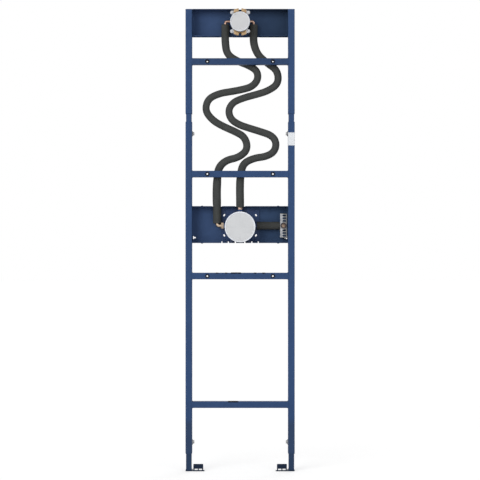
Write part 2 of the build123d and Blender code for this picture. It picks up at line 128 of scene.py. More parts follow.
COLOUR, FLOAT, VECTOR = "NodeSocketColor", "NodeSocketFloat", "NodeSocketVector"


def new_skin(name, *inputs):
    """Shader node group of a finish, with named inputs, that puts out colour, roughness and normal."""
    tree = bpy.data.node_groups.new(name, "ShaderNodeTree")
    for label, kind, value in inputs:
        tree.interface.new_socket(label, in_out="INPUT", socket_type=kind).default_value = value
    for label, kind in (("Colour", COLOUR), ("Roughness", FLOAT), ("Normal", VECTOR)):
        tree.interface.new_socket(label, in_out="OUTPUT", socket_type=kind)
    return tree, add_node(tree, "NodeGroupInput").outputs, add_node(tree, "NodeGroupOutput").inputs


def rounded_edges(tree, width):
    """Normal that rounds off the sharp edges over a width."""
    node = add_node(tree, "ShaderNodeBevel", samples=6)
    feed(tree, width, node.inputs["Radius"])
    return node.outputs[0]


edge_from, edge_full = 0.99, 0.75


def edge_mask(tree, rounded):
    """1 on the edges, where the rounded normal leaves the surface's own, and 0 on plain faces."""
    surface = add_node(tree, "ShaderNodeNewGeometry")
    dot = add_node(tree, "ShaderNodeVectorMath", operation="DOT_PRODUCT")
    feed(tree, rounded, dot.inputs[0])
    feed(tree, surface.outputs["Normal"], dot.inputs[1])
    return remap(tree, dot.outputs["Value"], (edge_from, edge_full), (0.0, 1.0))


def powder_coat_group():
    """Baked powder coat: orange peel, a slow drift of tone, and a paler line on edges that is partly wear
    where the coat thins and partly painted highlight.
    """
    tree, given, result = new_skin(
        "powder_coat",
        ("Colour", COLOUR, (0.02, 0.06, 0.17, 1)), ("Edge Colour", COLOUR, (0.06, 0.1, 0.2, 1)),
        ("Edge Width", FLOAT, 0.0012), ("Gloss Drift", FLOAT, 0.1),
    )
    plain_roughness = 0.42
    drift = cloud(tree, scale=5.0, detail=3.0)
    mottle = cloud(tree, scale=55.0, detail=3.0)
    peel = cloud(tree, scale=380.0, detail=2.0)
    rounded = rounded_edges(tree, given["Edge Width"])
    # Edge mask for the paler edge colour: partly edge wear, partly painted highlight.
    edge_wear_and_highlight = reckon(tree, "MULTIPLY", edge_mask(tree, rounded), remap(tree, mottle, (0.35, 0.6), (0.25, 0.8)))
    blotches = reckon(tree, "ADD", drift, reckon(tree, "MULTIPLY", mottle, 0.5))
    tone = remap(tree, blotches, (0.5, 1.0), (0.9, 1.1))
    grey = add_node(tree, "ShaderNodeCombineColor")
    for socket in grey.inputs[:3]:
        feed(tree, tone, socket)
    toned = mix_colours(tree, 1.0, given["Colour"], grey.outputs[0], "MULTIPLY")
    feed(tree, mix_colours(tree, edge_wear_and_highlight, toned, given["Edge Colour"]), result["Colour"])
    gloss = reckon(tree, "MULTIPLY", reckon(tree, "SUBTRACT", drift, 0.5), given["Gloss Drift"])
    feed(tree, reckon(tree, "ADD", plain_roughness, gloss), result["Roughness"])
    feed(tree, bump(tree, peel, strength=0.25, depth=0.00025, base=rounded), result["Normal"])
    return tree


def new_material(name):
    material = bpy.data.materials.new(name)
    material.use_nodes = True
    tree = material.node_tree
    return material, tree, tree.nodes["Principled BSDF"]


def wear_skin(tree, shader, group, **values):
    """Places a group in a material and joins its outputs to the shader's sockets."""
    skin = add_node(tree, "ShaderNodeGroup", node_tree=group)
    for label, value in values.items():
        feed(tree, value, skin.inputs[label.replace("_", " ")])
    for output in skin.outputs:
        target = "Base Color" if output.name == "Colour" else output.name
        feed(tree, output, shader.inputs[target])


powder_coat = powder_coat_group()
coat_blue = (0.030, 0.066, 0.161, 1)
coat_edge = (0.040, 0.080, 0.178, 1)
shaded_blue = (0.021, 0.043, 0.093, 1)
shaded_edge = (0.028, 0.053, 0.108, 1)
# Darker copy of the coat blue: painted shade on the floor plates, their welds and the tray rivets.
painted_shade_blue = (0.012, 0.022, 0.046, 1)


def coat(name, colour, edge, other=None, axis=2, start=0.0, end=1.0, shine=0.12):
    """Powder coat that may turn to another tone along one axis of the frame."""
    material, tree, shader = new_material(name)
    shader.inputs["Specular IOR Level"].default_value = shine
    if other:
        share = remap(tree, place_along(tree, axis), (start, end), (0.0, 1.0))
        colour = mix_colours(tree, share, colour, other)
    wear_skin(tree, shader, powder_coat, Colour=colour, Edge_Colour=edge)
    return material


def dress(material, *names):
    for name in names:
        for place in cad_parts[name].material_slots:
            place.material = material


def settle(work, name, material, body, replaced=(), smooth=40.0):
    """Turns a bmesh into a piece that rides on a body."""
    bmesh.ops.remove_doubles(work, verts=work.verts, dist=1e-6)
    bmesh.ops.recalc_face_normals(work, faces=work.faces)
    mesh = bpy.data.meshes.new(name)
    work.to_mesh(mesh)
    work.free()
    mesh.shade_smooth()
    mesh.set_sharp_from_angle(angle=radians(smooth))
    mesh.materials.append(material)
    piece = bpy.data.objects.new(name, mesh)
    bpy.context.scene.collection.objects.link(piece)
    if body:
        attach(piece, body)
    if replaced:
        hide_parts(*replaced)
    return piece


def skin_rings(work, rings):
    """Joins rings of points with quads and closes both ends."""
    rows = [[work.verts.new(point) for point in ring] for ring in rings]
    count = len(rows[0])
    for low, high in zip(rows, rows[1:]):
        for i in range(count):
            j = (i + 1) % count
            work.faces.new((low[i], low[j], high[j], high[i]))
    work.faces.new(rows[0][::-1])
    work.faces.new(rows[-1])


bead_step, bead_pitch = 0.0011, 0.0031
bead_arc, bead_least = 7, 6
bead_sink, taper_legs, taper_least = 0.0002, 0.6, 0.02


def lay_bead(work, start, end, first, second, leg, ripple=0.07):
    """Fillet weld with a hollow face between two walls that leave the seam along first and second."""
    start, end, first, second = Vector(start), Vector(end), Vector(first), Vector(second)
    length = (end - start).length
    count = max(bead_least, int(length / bead_step))
    rings = []
    for i in range(count + 1):
        run = length * i / count
        close = min(run, length - run)
        taper = sqrt(max(taper_least, 1 - max(0.0, 1 - close / (taper_legs * leg)) ** 2))
        wave = 1 + ripple * abs(sin(pi * run / bead_pitch)) - ripple / 2
        reach = leg * taper * wave
        seam = start.lerp(end, i / count)
        ring = [seam - bead_sink * (first + second)]
        for k in range(bead_arc + 1):
            turn = pi / 2 * k / bead_arc
            ring.append(seam + first * reach * (1 - sin(turn)) + second * reach * (1 - cos(turn)))
        rings.append(ring)
    skin_rings(work, rings)


left_axis, right_axis = 0.0, 0.47
leg_half_width, leg_half_depth = 0.0125, 0.0225
plate_top = 0.003
wide_bead, slim_bead = 0.005, 0.0022
up = (0, 0, 1)
for side, axis_x, inward in (("left", left_axis, 1), ("right", right_axis, -1)):
    dress(coat(side + "_plate_coat", painted_shade_blue, shaded_edge, shine=0.08), side + "_floor_plate")
    beads = bmesh.new()
    for way, leg in ((inward, wide_bead), (-inward, slim_bead)):
        x = axis_x + way * leg_half_width
        lay_bead(beads, (x, -leg_half_depth, plate_top), (x, leg_half_depth, plate_top), up, (way, 0, 0), leg)
    for face in (-1, 1):
        y = face * leg_half_depth
        lay_bead(beads, (axis_x - leg_half_width, y, plate_top), (axis_x + leg_half_width, y, plate_top),
                 up, (0, face, 0), slim_bead)
    settle(beads, side + "_plate_welds", coat(side + "_weld_coat", painted_shade_blue, shaded_edge),
           side + "_foot")


# Legs: rectangular steel tube that slides in the posts, so that the frame stands at the right height.
# The coat is darker below, where the leg comes out of the post, as painted shade.

leg_coat = coat("leg_coat", shaded_blue, shaded_edge, other=coat_blue, start=0.20, end=0.26)
dress(leg_coat, "left_leg", "right_leg")


# Posts: 30 x 50 mm welded steel tube with rounded corners, powder coated blue, with painted shade that
# darkens them towards the floor.
# They carry the crossbars and trays, and have a hole in the inner wall for each clamp screw.

post_shade = (0.0270, 0.0515, 0.1120, 1)
post_coat = coat("post_coat", post_shade, coat_edge, other=coat_blue, start=0.215, end=0.245)
dress(post_coat, "left_post", "right_post")


# Sticker: a blank white paper label wrapped round the front of the right post near its top.
# It is self-adhesive, with rounded corners and one that has begun to lift.

paper_white, paper_grey = (0.75, 0.775, 0.805, 1), (0.66, 0.68, 0.705, 1)


def sticker_material():
    """Matt label paper with short fibres and a little grime."""
    material, tree, shader = new_material("sticker_paper")
    fibres = cloud(tree, scale=700.0, detail=4.0)
    grime = remap(tree, cloud(tree, scale=40.0, detail=3.0), (0.4, 0.75), (0.0, 0.5))
    feed(tree, mix_colours(tree, grime, paper_white, paper_grey), shader.inputs["Base Color"])
    feed(tree, remap(tree, fibres, (0.3, 0.7), (0.45, 0.6)), shader.inputs["Roughness"])
    feed(tree, bump(tree, fibres, strength=0.15, depth=0.0001), shader.inputs["Normal"])
    return material


post_front, post_half, post_round = -0.025, 0.015, 0.003


def round_post(run, lift):
    """Point on the front of the right post, at a run along its outline from the centre of the front face."""
    flat, bend = post_half - post_round, post_round * pi / 2
    way = abs(run)
    sign = 1 if run > 0 else -1
    if way <= flat:
        x, y = way, post_front - lift
    elif way <= flat + bend:
        turn = (way - flat) / post_round
        x = flat + (post_round + lift) * sin(turn)
        y = post_front + post_round - (post_round + lift) * cos(turn)
    else:
        x, y = post_half + lift, post_front + post_round + way - flat - bend
    return right_axis + sign * x, y


sticker_low, sticker_high = 1.491, 1.550
sticker_half, sticker_corner = 0.0205, 0.003
sticker_glue, sticker_sheet = 0.00002, 0.00018
peel_height, peel_width, peel_lift = 0.008, 0.009, 0.0016
columns, rows = 44, 40
sticker = bmesh.new()
layers = []
for lift in (sticker_glue, sticker_sheet):
    grid = []
    for r in range(rows + 1):
        z = sticker_low + (sticker_high - sticker_low) * r / rows
        near = min(z - sticker_low, sticker_high - z)
        inset = sticker_corner - sqrt(max(0.0, sticker_corner ** 2 - max(0.0, sticker_corner - near) ** 2))
        half = sticker_half - inset
        line = []
        for c in range(columns + 1):
            run = half * (2 * c / columns - 1)
            peel_up = max(0.0, (z - sticker_high + peel_height) / peel_height)
            peel_out = max(0.0, (run - sticker_half + peel_width) / peel_width)
            loose = lift + peel_lift * (peel_up * peel_out) ** 2
            line.append(sticker.verts.new((*round_post(run, loose), z)))
        grid.append(line)
    layers.append(grid)
back, face = layers
for r in range(rows):
    for c in range(columns):
        sticker.faces.new((back[r][c], back[r][c + 1], back[r + 1][c + 1], back[r + 1][c]))
        sticker.faces.new((face[r][c], face[r + 1][c], face[r + 1][c + 1], face[r][c + 1]))
    for c in (0, columns):
        sticker.faces.new((back[r][c], back[r + 1][c], face[r + 1][c], face[r][c]))
for c in range(columns):
    for r in (0, rows):
        sticker.faces.new((back[r][c], back[r][c + 1], face[r][c + 1], face[r][c]))
settle(sticker, "post_sticker", sticker_material(), "frame")


# Crossbars: 30 mm square steel tube set between the posts, flush with their front.
# Fillet welds hold them above, below and behind, and the front seams are filled and ground flush.

bar_coat = coat("bar_coat", coat_blue, coat_edge)
dress(bar_coat, "lower_bar", "middle_bar", "hose_bar")

lower_bar_z, middle_bar_z, hose_bar_z = 0.304, 0.893, 1.360
bar_half, bar_front, bar_rear = 0.015, -0.025, 0.005
bay_edges = ((0.015, 1), (0.455, -1))
seam_bite, seam_proud, seam_face = 0.0003, 0.00012, 0.0005
seam_ripple, seam_waves = 0.00006, 9.0
seam_arc, seam_steps = 6, 24


def flush_seam(work, x, inward, low, high):
    """Ground weld that fills the hollow between the post's rounded corner and the end of a bar."""
    middle = post_front + post_round
    hollow = [(seam_bite, post_front - seam_proud), (seam_bite, middle)]
    for k in range(seam_arc + 1):
        turn = pi / 2 * k / seam_arc
        hollow.append((post_round * cos(turn) - post_round, middle - post_round * sin(turn)))
    rings = []
    for i in range(seam_steps + 1):
        z = low + (high - low) * i / seam_steps
        swell = seam_ripple * sin(seam_waves * pi * i / seam_steps)
        ring = [(x + inward * a, y - (swell if y < post_front + seam_face else 0.0), z) for a, y in hollow]
        rings.append(ring)
    skin_rings(work, rings)


bar_leg, rear_leg = 0.0058, 0.0045
bar_front_gap, bar_rear_gap, rear_end_gap = 0.0008, 0.002, 0.003


def bar_welds(work, z):
    """Welds round both ends of the bar at a height."""
    for x, inward in bay_edges:
        along = (inward, 0, 0)
        for face in (-1, 1):
            level = z + face * bar_half
            lay_bead(work, (x, bar_front + bar_front_gap, level), (x, bar_rear - bar_rear_gap, level),
                     (0, 0, face), along, bar_leg)
        low, high = z - bar_half, z + bar_half
        lay_bead(work, (x, bar_rear, low + rear_end_gap), (x, bar_rear, high - rear_end_gap),
                 (0, 1, 0), along, rear_leg)
        flush_seam(work, x, inward, low, high)


frame_welds = bmesh.new()
for bar_z in (lower_bar_z, middle_bar_z, hose_bar_z):
    bar_welds(frame_welds, bar_z)
settle(frame_welds, "crossbar_welds", coat("weld_coat", coat_blue, coat_edge), "frame")


# Bushes: black rubber, pressed into the bolt holes of the bars, with a round lip against the front.
# They keep sound and water away from the wall bolts.

rubber_black, rubber_bloom = (0.007, 0.009, 0.016, 1), (0.012, 0.016, 0.027, 1)


def rubber_material():
    """Dull black rubber with a faint bloom."""
    material, tree, shader = new_material("bush_rubber")
    shader.inputs["Specular IOR Level"].default_value = 0.1
    bloom = cloud(tree, scale=160.0, detail=3.0)
    share = remap(tree, bloom, (0.4, 0.7), (0.0, 1.0))
    feed(tree, mix_colours(tree, share, rubber_black, rubber_bloom), shader.inputs["Base Color"])
    feed(tree, remap(tree, bloom, (0.3, 0.7), (0.55, 0.75)), shader.inputs["Roughness"])
    return material


rubber = rubber_material()


def set_at(centre, axis):
    """Matrix that sets a shape with its own Z along an axis through a centre."""
    return Matrix.Translation(Vector(centre)) @ Vector(axis).to_track_quat("Z", "Y").to_matrix().to_4x4()


def turns(steps):
    return [2 * pi * i / steps for i in range(steps)]


def on_circle(place, radius, turn, level):
    """Point at a turn of a circle round the axis that a shape is set along."""
    return place @ Vector((radius * cos(turn), radius * sin(turn), level))


def turn_profile(work, profile, centre, axis, steps=40):
    """Turns a closed outline of (radius, reach along the axis) pairs about an axis through a centre."""
    place = set_at(centre, axis)
    columns = []
    for turn in turns(steps):
        columns.append([work.verts.new(on_circle(place, r, turn, h)) for r, h in profile])
    count = len(profile)
    for i in range(steps):
        here, there = columns[i], columns[(i + 1) % steps]
        for k in range(count):
            n = (k + 1) % count
            work.faces.new((here[k], there[k], there[n], here[n]))


def arc_points(centre, radius, first, last, count=5):
    """Points of an arc in a turning profile, between two angles in degrees."""
    found = []
    for i in range(count + 1):
        turn = radians(first + (last - first) * i / count)
        found.append((centre[0] + radius * cos(turn), centre[1] + radius * sin(turn)))
    return found


bush_bore, bush_body, bush_length = 0.0050, 0.0078, 0.0300
lip_bore, lip_radius, lip_round = 0.0037, 0.0100, 0.0008
lip_level, lip_undercut = 0.0307, 0.0004
bush_profile = (
    [(bush_bore, 0.0), (bush_body, 0.0), (bush_body, bush_length), (lip_radius, bush_length)]
    + arc_points((lip_radius - lip_round, lip_level), lip_round, 0, 90)
    + arc_points((lip_bore + lip_round, lip_level), lip_round, 90, 180)
    + [(bush_bore, bush_length - lip_undercut)]
)
bolt_columns = (0.085, 0.385)


def bush_pair(work, bar_z):
    for x in bolt_columns:
        turn_profile(work, bush_profile, (x, bar_rear, bar_z), (0, -1, 0))


bushes = bmesh.new()
for bar_z in (middle_bar_z, hose_bar_z):
    bush_pair(bushes, bar_z)
settle(bushes, "rubber_bushes", rubber, "frame", ("bar_bushes",))


# Pipe rests: thin black rubber strips glued over the front upper edge of the two lower bars.
# The supply pipes pass over them, and they keep the pipes from rattling on the steel.

rest_back, rest_lip = -0.0075, 0.0036
rest_glue, rest_arc = 0.00005, 6
bar_round = 0.003


def rest_section(level, sheet):
    """Section of a strip that follows the bar's top, its rounded front edge and the start of its front."""
    middle_y, middle_z = bar_front + bar_round, level - bar_round
    course = [(rest_back, level, 0.0, 1.0)]
    for k in range(rest_arc + 1):
        turn = pi / 2 * (1 + k / rest_arc)
        y, z = middle_y + bar_round * cos(turn), middle_z + bar_round * sin(turn)
        course.append((y, z, cos(turn), sin(turn)))
    course.append((bar_front, level - rest_lip, -1.0, 0.0))
    outer = [(y + sheet * a, z + sheet * b) for y, z, a, b in course]
    inner = [(y - rest_glue * a, z - rest_glue * b) for y, z, a, b in reversed(course)]
    return outer + inner


rest_ends = ((0.0, 0.2), (0.0004, 0.7), (0.0012, 1.0))


def pipe_rest(work, first, last, level, sheet):
    """Strip between two places along a bar, thinner towards both ends."""
    stations = [(first + inset, share) for inset, share in rest_ends]
    stations += [(last - inset, share) for inset, share in reversed(rest_ends)]
    rings = []
    for x, share in stations:
        rings.append([(x, y, z) for y, z in rest_section(level, sheet * share)])
    skin_rings(work, rings)


long_sheet, short_sheet = 0.0015, 0.0008
pipe_rests = bmesh.new()
pipe_rest(pipe_rests, 0.180, 0.226, lower_bar_z + bar_half, long_sheet)
pipe_rest(pipe_rests, 0.193, 0.240, middle_bar_z + bar_half, long_sheet)
for first, last in ((0.123, 0.136), (0.165, 0.177), (0.297, 0.310), (0.335, 0.350)):
    pipe_rest(pipe_rests, first, last, middle_bar_z + bar_half, short_sheet)
settle(pipe_rests, "pipe_rests", rubber, "frame")


# Clamp screws: zinc plated hexagon screws with a washer, in cone-shaped nuts welded to the posts.
# They press on the sliding tubes and hold the height that has been set.

metal_edge = 0.0006


def cell_pattern(tree, scale):
    """Cells with their own colours and the distance to their middles, scale cells to the metre."""
    node = add_node(tree, "ShaderNodeTexVoronoi")
    feed(tree, place_on_frame(tree), node.inputs["Vector"])
    feed(tree, scale, node.inputs["Scale"])
    return node.outputs


def zinc_group():
    """Zinc on steel: crystal spangle or plating haze, with a dull film in places."""
    tree, given, result = new_skin(
        "zinc_skin",
        ("Light", COLOUR, (0.62, 0.63, 0.64, 1)), ("Dark", COLOUR, (0.30, 0.31, 0.33, 1)),
        ("Crystal Scale", FLOAT, 150.0), ("Dullness", FLOAT, 0.35),
    )
    shade = add_node(tree, "ShaderNodeSeparateColor")
    feed(tree, cell_pattern(tree, given["Crystal Scale"])["Color"], shade.inputs[0])
    film = cloud(tree, scale=60.0, detail=3.0)
    spangle = reckon(tree, "MULTIPLY", shade.outputs[0], 0.6)
    amount = reckon(tree, "ADD", spangle, reckon(tree, "MULTIPLY", film, 0.5))
    rounded = rounded_edges(tree, metal_edge)
    toned = mix_colours(tree, amount, given["Dark"], given["Light"])
    feed(tree, mix_colours(tree, edge_mask(tree, rounded), toned, given["Light"]), result["Colour"])
    haze = reckon(tree, "MULTIPLY", shade.outputs[1], 0.15)
    feed(tree, reckon(tree, "ADD", given["Dullness"], haze), result["Roughness"])
    feed(tree, bump(tree, film, strength=0.1, depth=0.0002, base=rounded), result["Normal"])
    return tree


zinc_skin = zinc_group()


def zinc(name, light, dark, crystal, dullness, painted_shade_span=None):
    """Zinc; the optional span gives a stretch of the frame's width over which the light tone turns to a
    darker tone, as painted shade.
    """
    material, tree, shader = new_material(name)
    shader.inputs["Metallic"].default_value = 1.0
    if painted_shade_span:
        start, end, tone = painted_shade_span
        share = remap(tree, place_along(tree, 0), (start, end), (0.0, 1.0))
        light = mix_colours(tree, share, light, tone)
    wear_skin(tree, shader, zinc_skin, Light=light, Dark=dark, Crystal_Scale=crystal, Dullness=dullness)
    return material


screw_zinc = zinc("screw_zinc", (0.50, 0.50, 0.50, 1), (0.30, 0.30, 0.305, 1), 500.0, 0.30)
boss_zinc = zinc("boss_zinc", (0.31, 0.32, 0.345, 1), (0.20, 0.21, 0.235, 1), 420.0, 0.42)
dress(boss_zinc, "clamp_bosses")

screw_flats, screw_head, screw_shank, screw_reach = 0.013, 0.0043, 0.008, 0.0070
head_sides, shank_sides = 60, 24
head_foot, chamfer_depth, chamfer_steps = 0.0002, 0.0016, 4
foot_share, foot_slope = 0.97, 4
crown_share, crown_slope = 0.93, 1.75
washer_sheet, washer_share = 0.0012, 0.62
washer_burr, washer_ease = 0.0002, 0.0003


def hexagon(turn):
    """Distance from the middle of a screw head to its side at an angle."""
    return screw_flats / 2 / cos((turn + pi / 6) % (pi / 3) - pi / 6)


def hex_screw(work, seat, axis):
    """Washer, chamfered hexagon head and shank; seat is the middle of the face that the washer lies on."""
    place = set_at(seat, axis)
    half, top = screw_flats / 2, washer_sheet + screw_head
    levels = [washer_sheet, washer_sheet + head_foot]
    levels += [top - chamfer_depth * (1 - k / chamfer_steps) for k in range(chamfer_steps + 1)]
    rings = []
    for level in levels:
        crown = half * crown_share + (top - level) * crown_slope
        foot = half * foot_share + (level - washer_sheet) * foot_slope
        ring = []
        for turn in turns(head_sides):
            ring.append(on_circle(place, min(hexagon(turn), crown, foot), turn, level))
        rings.append(ring)
    skin_rings(work, rings)
    bore, rim = screw_shank / 2, screw_flats * washer_share
    washer = [(bore, 0.0), (rim - washer_burr, 0.0), (rim, washer_burr), (rim, washer_sheet - washer_ease),
              (rim - washer_ease, washer_sheet), (bore, washer_sheet)]
    turn_profile(work, washer, seat, axis)
    rings = []
    for level in (-screw_reach, washer_sheet / 2):
        rings.append([on_circle(place, bore, turn, level) for turn in turns(shank_sides)])
    skin_rings(work, rings)


clamp_screws = bmesh.new()
for z in (0.131, 1.546):
    for x, inward in ((0.020, 1), (0.450, -1)):
        hex_screw(clamp_screws, (x, 0.0, z), (inward, 0, 0))
settle(clamp_screws, "clamp_screws", screw_zinc, "frame", ("clamp_bolts",))


# Mixer tray: a pan folded from 2 mm sheet, open to the room, that takes the mixer on its back.
# It is riveted at its flanges and tacked to the posts at its corners, and the tacks are coated with it.

# The trays' blue is painted paler than the posts' blue, as painted light, and turns darker towards the right
# post, as painted shade.
tray_painted_light = (0.053, 0.091, 0.193, 1)


def painted_light_pan_coat(name, tray_painted_shade):
    """Matt coat of a tray with painted light that makes it paler than the posts and paler towards the left
    post, and painted shade towards the right.
    """
    return coat(name, tray_painted_light, shaded_edge, other=tray_painted_shade, axis=0, start=0.05, end=0.45, shine=0.0)


dress(painted_light_pan_coat("tray_coat", (0.042, 0.074, 0.143, 1)), "mixer_tray")

tack_coat = coat("tack_coat", shaded_blue, shaded_edge, shine=0.05)
tray_lip = -0.011
tack_length, tack_leg, tack_gap, tack_ripple = 0.016, 0.0021, 0.006, 0.2


def tray_tacks(work, low, high):
    """Short welds between the front edge of a tray's side flange and the post."""
    for x, inward in bay_edges:
        for start in (low + tack_gap, high - tack_gap - tack_length):
            lay_bead(work, (x, tray_lip, start), (x, tray_lip, start + tack_length),
                     (0, -1, 0), (inward, 0, 0), tack_leg, ripple=tack_ripple)


tray_low, tray_high = 1.044, 1.2135
mixer_tacks = bmesh.new()
tray_tacks(mixer_tacks, tray_low, tray_high)
settle(mixer_tacks, "mixer_tray_tacks", tack_coat, "frame")

rivet_radius, rivet_crown, rivet_sink = 0.0055, 0.0028, 0.0005
rivet_depth, rivet_sides = 0.012, 28
rivet_profile = [(0.0, -rivet_sink), (rivet_radius, -rivet_sink)]
for angle in range(0, 90, 15):
    rivet_profile.append((rivet_radius * cos(radians(angle)), rivet_crown * sin(radians(angle))))
rivet_profile.append((0.0, rivet_crown))
rivets = bmesh.new()
for x in (0.060, 0.410):
    for level, way in ((tray_high, 1), (tray_low, -1)):
        turn_profile(rivets, rivet_profile, (x, rivet_depth, level), (0, 0, way), rivet_sides)
settle(rivets, "mixer_tray_rivets", coat("rivet_coat", painted_shade_blue, coat_edge), "frame")


# Mixer box: a blue moulded housing whose square flange lies on the tray, with a boss at each pipe port.
# It is fixed through the four slots of the flange, which let it turn a little before it is set.

moulded_edge = 0.0008


def moulded_group():
    """Moulded plastic: fine spark texture, faint flow clouds, and edges that catch the light."""
    tree, given, result = new_skin(
        "moulded_plastic",
        ("Colour", COLOUR, (0.7, 0.7, 0.7, 1)), ("Cloud Colour", COLOUR, (0.6, 0.6, 0.6, 1)),
        ("Cloud Amount", FLOAT, 0.4), ("Dullness", FLOAT, 0.5),
    )
    flow = cloud(tree, scale=22.0, detail=4.0)
    spark = cloud(tree, scale=1100.0, detail=2.0)
    amount = reckon(tree, "MULTIPLY", remap(tree, flow, (0.4, 0.7), (0.0, 1.0)), given["Cloud Amount"])
    feed(tree, mix_colours(tree, amount, given["Colour"], given["Cloud Colour"]), result["Colour"])
    gloss = remap(tree, flow, (0.3, 0.7), (-0.06, 0.06))
    feed(tree, reckon(tree, "ADD", given["Dullness"], gloss), result["Roughness"])
    rounded = rounded_edges(tree, moulded_edge)
    feed(tree, bump(tree, spark, strength=0.2, depth=0.00012, base=rounded), result["Normal"])
    return tree


moulded_plastic = moulded_group()


def ring_share(tree, centre, start, width):
    """0 near a centre in the plane of the wall and 1 beyond a ring round it."""
    flat = add_node(tree, "ShaderNodeVectorMath", operation="MULTIPLY")
    feed(tree, place_on_frame(tree), flat.inputs[0])
    feed(tree, (1, 0, 1), flat.inputs[1])
    away = add_node(tree, "ShaderNodeVectorMath", operation="DISTANCE")
    feed(tree, flat.outputs[0], away.inputs[0])
    feed(tree, (centre[0], 0, centre[2]), away.inputs[1])
    return remap(tree, away.outputs["Value"], (start, start + width), (0.0, 1.0))


def plastic(name, colour, cloud_colour, amount, dullness, rim=None):
    """Moulded plastic; rim gives the centre, the inner radius and the colour of a painted highlight on the
    rim.
    """
    material, tree, shader = new_material(name)
    shader.inputs["Specular IOR Level"].default_value = 0.35
    if rim:
        centre, start, paler = rim
        colour = mix_colours(tree, ring_share(tree, centre, start, 0.002), colour, paler)
    wear_skin(tree, shader, moulded_plastic, Colour=colour, Cloud_Colour=cloud_colour, Cloud_Amount=amount,
              Dullness=dullness)
    return material


dress(plastic("box_plastic", (0.008, 0.030, 0.105, 1), (0.012, 0.040, 0.125, 1), 0.8, 0.5), "mixer_box")


# Mixer cover: a white moulded cap over the mixer, with a raised rim round a shallow face.
# It keeps plaster out until the wall is finished, and has faint lines moulded in for levelling.

frame_centre, mixer_z = 0.235, 1.1175
cover_centre = Vector((frame_centre, -0.040, mixer_z))
# The cap's raised rim gets a painted highlight.
cover_white = plastic("cover_white", (0.63, 0.64, 0.655, 1), (0.57, 0.58, 0.595, 1), 0.5, 0.5,
                      rim=(cover_centre, 0.064, (0.82, 0.85, 0.92, 1)))

cap_rim, cap_recess, cap_wall = 0.006, 0.0012, 0.003
cap_edge, rim_edge, face_edge = 0.0025, 0.0008, 0.0004


def cap_profile(radius, depth):
    """Outline of a cap that opens backwards; its rim stands at depth, with the face sunk inside it."""
    inner, face = radius - cap_rim, depth - cap_recess
    return (
        [(radius - cap_wall, 0.0), (radius, 0.0)]
        + arc_points((radius - cap_edge, depth - cap_edge), cap_edge, 0, 90, 7)
        + arc_points((inner + rim_edge, depth - rim_edge), rim_edge, 90, 180, 4)
        + [(inner, face + face_edge), (inner - face_edge, face), (0.0, face)]
        + [(0.0, face - cap_wall), (radius - cap_wall, face - cap_wall)]
    )


cover_radius, cover_depth = 0.070, 0.022
cover = bmesh.new()
turn_profile(cover, cap_profile(cover_radius, cover_depth), cover_centre, (0, -1, 0), 112)
settle(cover, "mixer_cap", cover_white, "frame", ("mixer_cover",))

mark_grey = plastic("mark_grey", (0.50, 0.51, 0.54, 1), (0.58, 0.59, 0.61, 1), 0.6, 0.55)
cover_face = cover_centre.y - cover_depth + cap_recess
ridge_steps = ((0.0, -0.0002), (0.0, 0.0001), (0.0002, 0.0003), (0.0004, 0.00035))
ridge_least = 0.0001


def raised_line(work, shift_x, shift_z, width, height):
    """Low moulded ridge with a rounded top on the face of the cap, at a shift from its centre."""
    x, z = frame_centre + shift_x, mixer_z + shift_z
    rings = []
    for inset, lift in ridge_steps:
        w, h = max(width / 2 - inset, ridge_least), max(height / 2 - inset, ridge_least)
        y = cover_face - lift
        rings.append([(x - w, y, z - h), (x + w, y, z - h), (x + w, y, z + h), (x - w, y, z + h)])
    skin_rings(work, rings)


line_shift, line_length, line_width = 0.050, 0.018, 0.0014
tick_length, tick_width = 0.006, 0.0010
marks = bmesh.new()
for side in (-1, 1):
    raised_line(marks, side * line_shift, 0.0, line_length, line_width)
    raised_line(marks, 0.0, side * line_shift, line_width, line_length)
    for tick_shift in (0.020, 0.028, 0.036):
        raised_line(marks, side * tick_shift, 0.0, tick_width, tick_length)
settle(marks, "mixer_cap_marks", mark_grey, "frame")


# Ports of the mixer: turned brass nuts and nipples and a bent tube that lead into the hoses.
# The two threaded sockets below take the hot and cold supply pipes, and their dark blue is painted shade.

def brass_group():
    """Turned brass or copper: warm tone with darker tarnish in patches and bright edges."""
    tree, given, result = new_skin(
        "brass_skin",
        ("Bright", COLOUR, (0.75, 0.50, 0.27, 1)), ("Tarnish", COLOUR, (0.35, 0.20, 0.10, 1)),
        ("Tarnish Amount", FLOAT, 0.5), ("Dullness", FLOAT, 0.3),
    )
    patches = cloud(tree, scale=75.0, detail=4.0)
    fine = cloud(tree, scale=600.0, detail=2.0)
    rounded = rounded_edges(tree, metal_edge)
    amount = reckon(tree, "MULTIPLY", remap(tree, patches, (0.4, 0.7), (0.0, 1.0)), given["Tarnish Amount"])
    toned = mix_colours(tree, amount, given["Bright"], given["Tarnish"])
    feed(tree, mix_colours(tree, edge_mask(tree, rounded), toned, given["Bright"]), result["Colour"])
    film = reckon(tree, "MULTIPLY", amount, 0.3)
    feed(tree, reckon(tree, "ADD", given["Dullness"], film), result["Roughness"])
    feed(tree, bump(tree, fine, strength=0.12, depth=0.00015, base=rounded), result["Normal"])
    return tree


brass_skin = brass_group()


def brass(name, bright, tarnish, amount, dullness, rim=None):
    """Brass or copper; rim gives the centre, the inner radius and the colour of a darker collar."""
    material, tree, shader = new_material(name)
    shader.inputs["Metallic"].default_value = 1.0
    if rim:
        centre, start, darker = rim
        share = ring_share(tree, centre, start, 0.0006)
        bright = mix_colours(tree, share, bright, darker)
        tarnish = mix_colours(tree, share, tarnish, darker)
    wear_skin(tree, shader, brass_skin, Bright=bright, Tarnish=tarnish, Tarnish_Amount=amount,
              Dullness=dullness)
    return material


